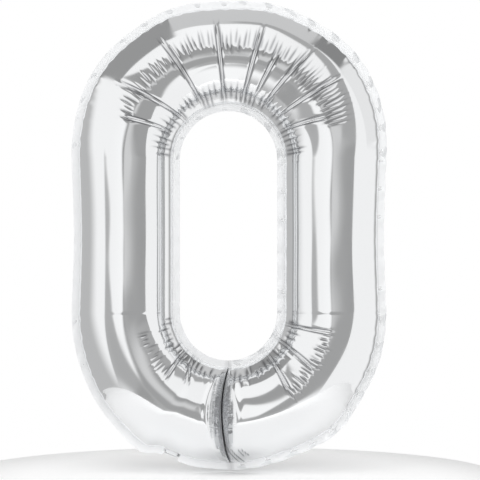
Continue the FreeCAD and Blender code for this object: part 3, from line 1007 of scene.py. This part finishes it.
@dataclass
class HeatSeals:
    """The fused bands between the panels, following the ruffled margins."""

    form: FoilForm
    plastic: bpy.types.Material
    width: float = 5 * MM
    slot_half: float = 9.5 * MM
    cross_rows: int = 90

    def band(self, station: np.ndarray, inner: float, outer: float) -> np.ndarray:
        """Points of a flat band between two reaches: across its front face, then back behind.

        Args:
            station: stations of the columns.
            inner: reach of one edge.
            outer: reach of the other edge.

        Returns:
            Points of shape (columns, 8, 3).
        """
        form, s = self.form, station[:, None]
        across = np.linspace(inner, outer, 4)
        reach = np.concatenate([across, across[::-1]])[None, :]
        heading = form.loop.heading(s)
        thick = np.array([-1.0] * 4 + [1.0] * 4)[None, :] * form.seal_half
        x, z = form.place(s, heading, reach, reach)[:2]
        return np.stack([x, thick + form.ruffle(s, reach, heading), z], axis=-1)

    def build(self) -> None:
        """Builds the outer seal, the hole's seal and the cross seal."""
        form = self.form
        r, station = form.radius, form.loop.stations()[::2]
        hole = self.band(station, -r - self.width, -r)

        heading = form.loop.heading(station)
        away = form.from_neck(heading)
        turned = np.roll(np.arange(len(station)), -int(np.argmin(away)))
        turned = turned[away[turned] > self.slot_half]
        outline = self.band(station[turned], r, r + self.width)

        reach = np.linspace(-r, r, self.cross_rows)[:, None]
        half = self.width / 2
        corner = np.array([[-half, half, half, -half]])
        thick = np.array([[-1.0, -1.0, 1.0, 1.0]]) * form.seal_half
        z = form.loop.low - form.loop.bend - reach
        cross = np.stack([form.bow(reach) + corner, thick + 0 * reach, z + 0 * corner], axis=-1)

        for name, points, closed, node in (
            ("seal_round_hole", hole, True, "hole_seal"),
            ("seal_round_outline", outline, False, "outer_seal"),
            ("seal_across_foot", cross, False, "cross_seal"),
        ):
            piece = grid_piece(name, points, closed, True)
            stand_in(piece, self.plastic, node)
            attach(piece, "balloon")


@dataclass
class FillingTail:
    """The filling tail: two foil plies with sealed sides round the milky mouth of the valve.

    It leaves the notch, turns back at the fold line and lies up the back of the tube.
    """

    form: FoilForm
    foil: bpy.types.Material
    plastic: bpy.types.Material
    film: bpy.types.Material
    width: float = 25 * MM
    valve_width: float = 19 * MM
    fold_reach: float = 97 * MM
    stand_reach: float = 92 * MM
    fold_radius: float = 1.3 * MM
    wrap: float = math.radians(28)
    ply: float = 0.4 * MM
    gap: float = 0.08 * MM
    ripple: float = 0.22 * MM
    step: float = 0.25 * MM
    rows: int = 15

    @property
    def lean(self) -> float:
        """Angle between the fold's plane and the straight run that comes down on to the tube."""
        return math.acos(self.stand_reach / self.fold_reach)

    def line(self, extra: float) -> tuple[np.ndarray, np.ndarray, np.ndarray]:
        """The tail's middle line in the plane through the neck, as distance outwards and backwards.

        The heading turns at a steady rate round the fold, stays straight to the tube and turns again
        along it; the points are the running sum of its cosine and sine.

        Args:
            extra: how far the line runs on past the foil's end.

        Returns:
            Points of shape (n, 2) as (backwards Y, inwards), their normals, and distances along the line.
        """
        turn = math.pi / 2 + self.lean
        cut = self.fold_radius * math.tan(turn / 2)
        round_fold = self.fold_radius * turn
        straight = math.sqrt(self.fold_reach**2 - self.stand_reach**2) - cut
        whole = round_fold + straight + self.stand_reach * self.wrap + extra
        along = np.arange(0.0, whole, self.step)
        heading = -math.pi / 2 + np.clip(along / self.fold_radius, 0, turn)
        heading = heading + np.clip((along - round_fold - straight) / self.stand_reach, 0, None)
        y = np.cumsum(np.cos(heading)) * self.step
        inwards = np.cumsum(np.sin(heading)) * self.step - (self.fold_reach - cut)
        normal = np.stack([-np.sin(heading), np.cos(heading)], axis=-1)
        return np.stack([y, inwards], axis=-1), normal, along

    def at_neck(self, across: np.ndarray | float, back: np.ndarray | float,
                outwards: np.ndarray | float) -> tuple:
        """Turns places given along the neck's own directions into X, Y and Z.

        Args:
            across: places across the tail.
            back: distances behind the seam plane.
            outwards: distances from the foot's bend centre, along the neck.

        Returns:
            X, Y and Z.
        """
        turned = math.radians(270.0 - self.form.neck_angle)
        x = across * math.cos(turned) - outwards * math.sin(turned)
        z = self.form.loop.low - across * math.sin(turned) - outwards * math.cos(turned)
        return (x, back, z)

    def strip(self, low: float, high: float, left: float, right: float, extra: float) -> np.ndarray:
        """A flat strip that follows the tail's line, between two offsets and two places across.

        Two crossing sine waves ripple it away from the fold.

        Args:
            low: offset of the face nearer the tube, along the line's normal.
            high: offset of the other face.
            left: place of one edge across the tail.
            right: place of the other edge.
            extra: how far it runs on past the foil's end.

        Returns:
            Points of shape (columns, rows, 3) in the frame.
        """
        line, normal, along = self.line(extra)
        # every step round the fold, every fourth one beyond it
        keep = np.concatenate([np.arange(24), np.arange(24, len(along), 4)])
        line, normal, along = line[keep], normal[keep], along[keep, None]
        across = np.linspace(left, right, self.rows)
        place = np.concatenate([across, across[::-1]])[None, :]
        offset = np.array([low] * self.rows + [high] * self.rows)[None, :]
        waves = wave(place, 17 * MM, along / (9 * MM)) + 0.6 * wave(along, 14 * MM, place / (6 * MM))
        offset = self.ripple * smooth_step(6 * MM, 30 * MM, along) * waves - offset
        back = line[:, :1] + normal[:, :1] * offset
        inwards = line[:, 1:] + normal[:, 1:] * offset
        return np.stack(self.at_neck(place, back, self.form.loop.bend - inwards), axis=-1)

    def build(self) -> None:
        """Builds the plies, the side seals and the valve's mouth, bent between the balloon and the tail."""
        half, mouth, gap, ply = self.width / 2, self.valve_width / 2, self.gap, self.ply
        foil, plastic, film = (
            (self.foil, "mirror_foil"), (self.plastic, "heat_seal"), (self.film, "valve_film"))
        # name, node, finish and slot, the two offsets, the two edges, what runs on past the foil
        pieces = (
            ("tail_foil_inner", "tail_front_ply", foil, gap + ply, gap + 2 * ply, -half, half, 0.0),
            ("tail_foil_outer", "tail_back_ply", foil, -gap - 2 * ply, -gap - ply, -half, half, 0.0),
            ("tail_seal_left", "tail_left_seal", plastic, -gap - ply, gap + ply, -half, -mouth, 0.0),
            ("tail_seal_right", "tail_right_seal", plastic, -gap - ply, gap + ply, mouth, half, 0.0),
            ("valve_mouth_inner", "valve_mouth_front_ply", film, gap, gap + ply, -mouth, mouth, 3.5 * MM),
            ("valve_mouth_outer", "valve_mouth_back_ply", film, -gap - ply, -gap, -mouth, mouth, 2.0 * MM),
        )
        for name, node, (material, slot), low, high, left, right, extra in pieces:
            points = self.strip(low, high, left, right, extra)
            count = points.shape[:2]
            values = {"weld": np.full(count, 0.12), "crush": np.full(count, 0.04), "crease_shade": np.zeros(count)}
            piece = grid_piece(name, points, False, True, values)
            stand_in(piece, material, node)
            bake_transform(piece)


@dataclass
class InnerValve:
    """The flat valve inside the tube keeps its CAD plies and gets the film's finish."""

    film: bpy.types.Material

    def build(self) -> None:
        """Dresses the three plies."""
        for node in ("valve_back_ply", "valve_neck_ply", "valve_front_ply"):
            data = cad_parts[node].data
            data.materials.clear()
            data.materials.append(self.film)
            LOG.info("%s: dressed", node)


# ---------------------------------------------------------------- studio
@dataclass(frozen=True)
class Flag:
    """A grey card of the light tent, cut out of the sphere of directions by planes.

    Each edge is (x, y, z, level, softness): the card lies where x X + y Y + z Z rises above the level, and
    the edge fades over the softness. Y runs away from the numeral's front, so the front is towards -Y.
    """

    name: str
    grey: float
    edges: tuple[tuple[float, float, float, float, float], ...]


@dataclass(frozen=True)
class Softbox:
    """A broad, weak lamp for what isn't a mirror: its place, its tilt from straight down, its watts."""

    name: str
    place: tuple[float, float, float]
    tilt: float
    power: float


# planes that several cards share: the front card's lower edge, its top edge and its bottom edge
FRONT_EDGE = (0.0, -1.0, 0.57, 0.60, 0.01)
TOP_EDGE = (-0.28, 0.0, -1.0, -0.36, 0.02)
BOTTOM_EDGE = (0.35, 0.0, 1.0, -0.24, 0.03)


@dataclass
class Studio:
    """A white light tent with grey flags, a pale floor and the camera."""

    white: float = 1.10
    flags: tuple[Flag, ...] = (
        Flag("left_side_dimmer", 0.98, ((-1.0, 0.0, 0.0, 0.1, 0.5),)),
        Flag("right_side_dimmer", 0.96, ((1.0, 0.0, 0.0, 0.1, 0.4),)),
        Flag("upper_right_back", 0.86, ((0.0, 1.0, 0.30, 0.02, 0.03), (0.656, 0.0, -0.755, 0.0, 0.03),
                                        (0.0, 0.0, 1.0, 0.05, 0.03))),
        Flag("rim", 0.42, ((0.0, 1.0, 0.0, 0.70, 0.08), (0.0, 0.0, 1.0, -0.35, 0.1))),
        Flag("left_behind", 0.52, ((0.0, 1.0, -0.9, -0.02, 0.30), (-1.0, 0.0, 0.0, 0.2, 0.1),
                                   (0.0, 0.0, -1.0, -0.36, 0.12))),
        Flag("overhead_back", 0.62, ((0.0, 1.0, 0.0, -0.18, 0.02), (-0.857, 0.0, 0.515, 0.0, 0.02),
                                     (0.927, 0.0, 0.375, 0.0, 0.03))),
        Flag("upper_left_back", 0.33, ((0.0, 1.0, 0.0, -0.42, 0.03), (-0.927, 0.0, -0.375, 0.0, 0.03),
                                       (0.559, 0.0, 0.829, 0.0, 0.02))),
        Flag("upper_right_block", 0.26, ((0.0, 1.0, 0.0, -0.1, 0.05), (-0.656, 0.0, 0.755, 0.0, 0.02),
                                         (0.857, 0.0, -0.515, 0.0, 0.02))),
        Flag("left_strip", 0.46, ((-1.0, 0.0, -1.6, 0.63, 0.05), (1.0, 0.0, 0.0, -0.78, 0.02),
                                  (0.0, -1.0, 0.0, 0.1, 0.05), (0.0, 0.0, 1.0, -0.45, 0.1),
                                  (0.0, 0.0, -1.0, -0.07, 0.08))),
        Flag("low_left", 0.44, ((1.0, 0.0, 0.0, -0.68, 0.05), (-1.0, 0.0, 0.0, -0.12, 0.06),
                                (0.0, 0.0, -1.0, 0.14, 0.03), (0.0, 0.0, 1.0, -0.34, 0.03),
                                (0.0, -1.0, 0.0, 0.1, 0.05))),
        Flag("lower_left_block", 0.36, ((0.0, -1.0, 0.0, 0.45, 0.05), (0.643, 0.0, -0.766, 0.0, 0.03),
                                        (-0.829, 0.0, 0.559, 0.0, 0.03), (0.0, 0.0, -1.0, 0.2, 0.05))),
        Flag("right_front_soft", 0.66, ((1.0, 0.0, 0.35, 0.05, 0.05), FRONT_EDGE, TOP_EDGE, BOTTOM_EDGE)),
        Flag("right_front", 0.34, ((1.0, 0.0, 0.35, 0.42, 0.30), FRONT_EDGE, TOP_EDGE, BOTTOM_EDGE)),
        Flag("over_camera", 0.36, ((1.0, 0.0, 1.25, -0.03, 0.04), (0.0, 0.0, 1.0, 0.0, 0.03),
                                   TOP_EDGE, FRONT_EDGE)),
        Flag("under_camera", 0.38, ((0.0, 0.0, -1.0, 0.0, 0.03), (1.0, 0.0, -0.9, -0.05, 0.04),
                                    (0.35, 0.0, 1.0, -0.22, 0.02), FRONT_EDGE)),
        Flag("beside_camera", 0.68, ((-1.0, 0.0, 6.5, -0.17, 0.30), (1.0, 0.0, 0.0, -0.02, 0.03),
                                     (0.0, -1.0, 0.0, 0.6, 0.1), (0.0, 0.0, 1.0, -0.18, 0.08),
                                     (0.0, 0.0, -1.0, -0.16, 0.08))),
        Flag("right_crescent", 0.42, (FRONT_EDGE, (0.134, 1.051, -0.872, -1.0, 0.03),
                                      (1.0, 0.0, 0.0, 0.0, 0.05), (0.0, 0.0, 1.0, 0.05, 0.05))),
    )
    softboxes: tuple[Softbox, ...] = (
        Softbox("overhead_softbox", (-0.4, -0.8, 2.6), 18.0, 10.0),
        Softbox("front_softbox", (0.4, -3.0, 0.9), 84.0, 42.0),
        Softbox("rear_softbox", (-0.4, 3.0, 0.9), -84.0, 18.0),
    )
    softbox_size: tuple[float, float] = (2.2, 1.4)
    floor_rings: tuple[float, ...] = (0.0005, 0.1, 0.2, 0.35, 0.5)
    floor_drop: float = 4 * MM
    frame_width: float = 0.9024
    distance: float = 4.2
    aim_x: float = 0.0216
    aim_z: float = 0.4316

    def light_tent(self) -> None:
        """Paints the world: white, darkened by each flag; what the camera sees directly stays white."""
        world = bpy.data.worlds.new("light_tent")
        bpy.context.scene.world = world
        world.use_nodes = True
        tree = world.node_tree
        tree.nodes.clear()
        way = add_node(tree, "ShaderNodeTexCoord").outputs["Generated"]
        level: float | bpy.types.NodeSocket = self.white
        for flag in self.flags:
            cover: float | bpy.types.NodeSocket = 1.0
            for x, y, z, edge, soft in flag.edges:
                rise = add_node(tree, "ShaderNodeVectorMath", {"operation": "DOT_PRODUCT"}, {
                    0: way, 1: (x, y, z)})
                inside = add_node(tree, "ShaderNodeMapRange", {"interpolation_type": "SMOOTHSTEP"}, {
                    "Value": rise.outputs["Value"], "From Min": edge - soft, "From Max": edge + soft})
                product = add_node(tree, "ShaderNodeMath", {"operation": "MULTIPLY"}, {
                    0: cover, 1: inside.outputs["Result"]})
                cover = product.outputs["Value"]
            mixed = add_node(tree, "ShaderNodeMix", {"data_type": "FLOAT"}, {
                "Factor": cover, "A": level, "B": flag.grey})
            level = mixed.outputs[0]
        seen = add_node(tree, "ShaderNodeLightPath").outputs["Is Camera Ray"]
        shown = add_node(tree, "ShaderNodeMix", {"data_type": "FLOAT"}, {
            "Factor": seen, "A": level, "B": 1.0})
        back = add_node(tree, "ShaderNodeBackground", inputs={
            "Color": (1.0, 1.0, 1.0, 1.0), "Strength": shown.outputs[0]})
        add_node(tree, "ShaderNodeOutputWorld", inputs={"Surface": back.outputs["Background"]})

    def floor(self) -> None:
        """A round pale floor just under the balloon: rings of points on a thin disc, top and underside."""
        count = len(self.floor_rings)
        rings = np.array(self.floor_rings + self.floor_rings[::-1])[None, :]
        turn = np.linspace(0, 2 * math.pi, 96, endpoint=False)[:, None]
        z = -self.floor_drop * np.array([[1.0] * count + [2.0] * count]) + 0 * turn
        piece = grid_piece(
            "floor", np.stack([rings * np.cos(turn), rings * np.sin(turn), z], axis=-1), True, False)
        piece.data.materials.append(PaperFloor().build())

    def lamps(self) -> None:
        """Hangs the softboxes above, in front and behind, where the foil doesn't mirror them."""
        for box in self.softboxes:
            data = bpy.data.lights.new(box.name, "AREA")
            data.shape = "RECTANGLE"
            data.size, data.size_y = self.softbox_size
            data.energy = box.power
            lamp = bpy.data.objects.new(box.name, data)
            lamp.location = box.place
            lamp.rotation_euler = (math.radians(box.tilt), 0.0, 0.0)
            lamp.visible_glossy = False
            bpy.context.scene.collection.objects.link(lamp)

    def camera(self) -> None:
        """A long lens level with the middle of the numeral, looking along +Y."""
        data = bpy.data.cameras.new("camera")
        data.sensor_width = 36.0
        data.lens = 36.0 * self.distance / self.frame_width
        data.clip_end = 50.0
        camera = bpy.data.objects.new("camera", data)
        camera.location = (self.aim_x, -self.distance, self.aim_z)
        camera.rotation_euler = (math.pi / 2, 0.0, 0.0)
        bpy.context.scene.collection.objects.link(camera)
        bpy.context.scene.camera = camera

    def build(self) -> None:
        """Sets up the tent, the floor, the lamps, the camera and plain colour handling."""
        self.light_tent()
        self.floor()
        self.lamps()
        self.camera()
        bpy.context.scene.view_settings.view_transform = "Standard"


def main() -> None:
    """Builds the finishes, the sub-assemblies and the studio in order."""
    logging.basicConfig(level=logging.INFO, format="%(name)s: %(message)s")
    form = FoilForm()
    foil, plastic, film = MirrorFoil().build(), FusedSeal().build(), ValveFilm().build()
    FoilPanels(form, foil).build()
    HeatSeals(form, plastic).build()
    FillingTail(form, foil, plastic, film).build()
    InnerValve(film).build()
    Studio().build()


if __name__ == "__main__":
    main()
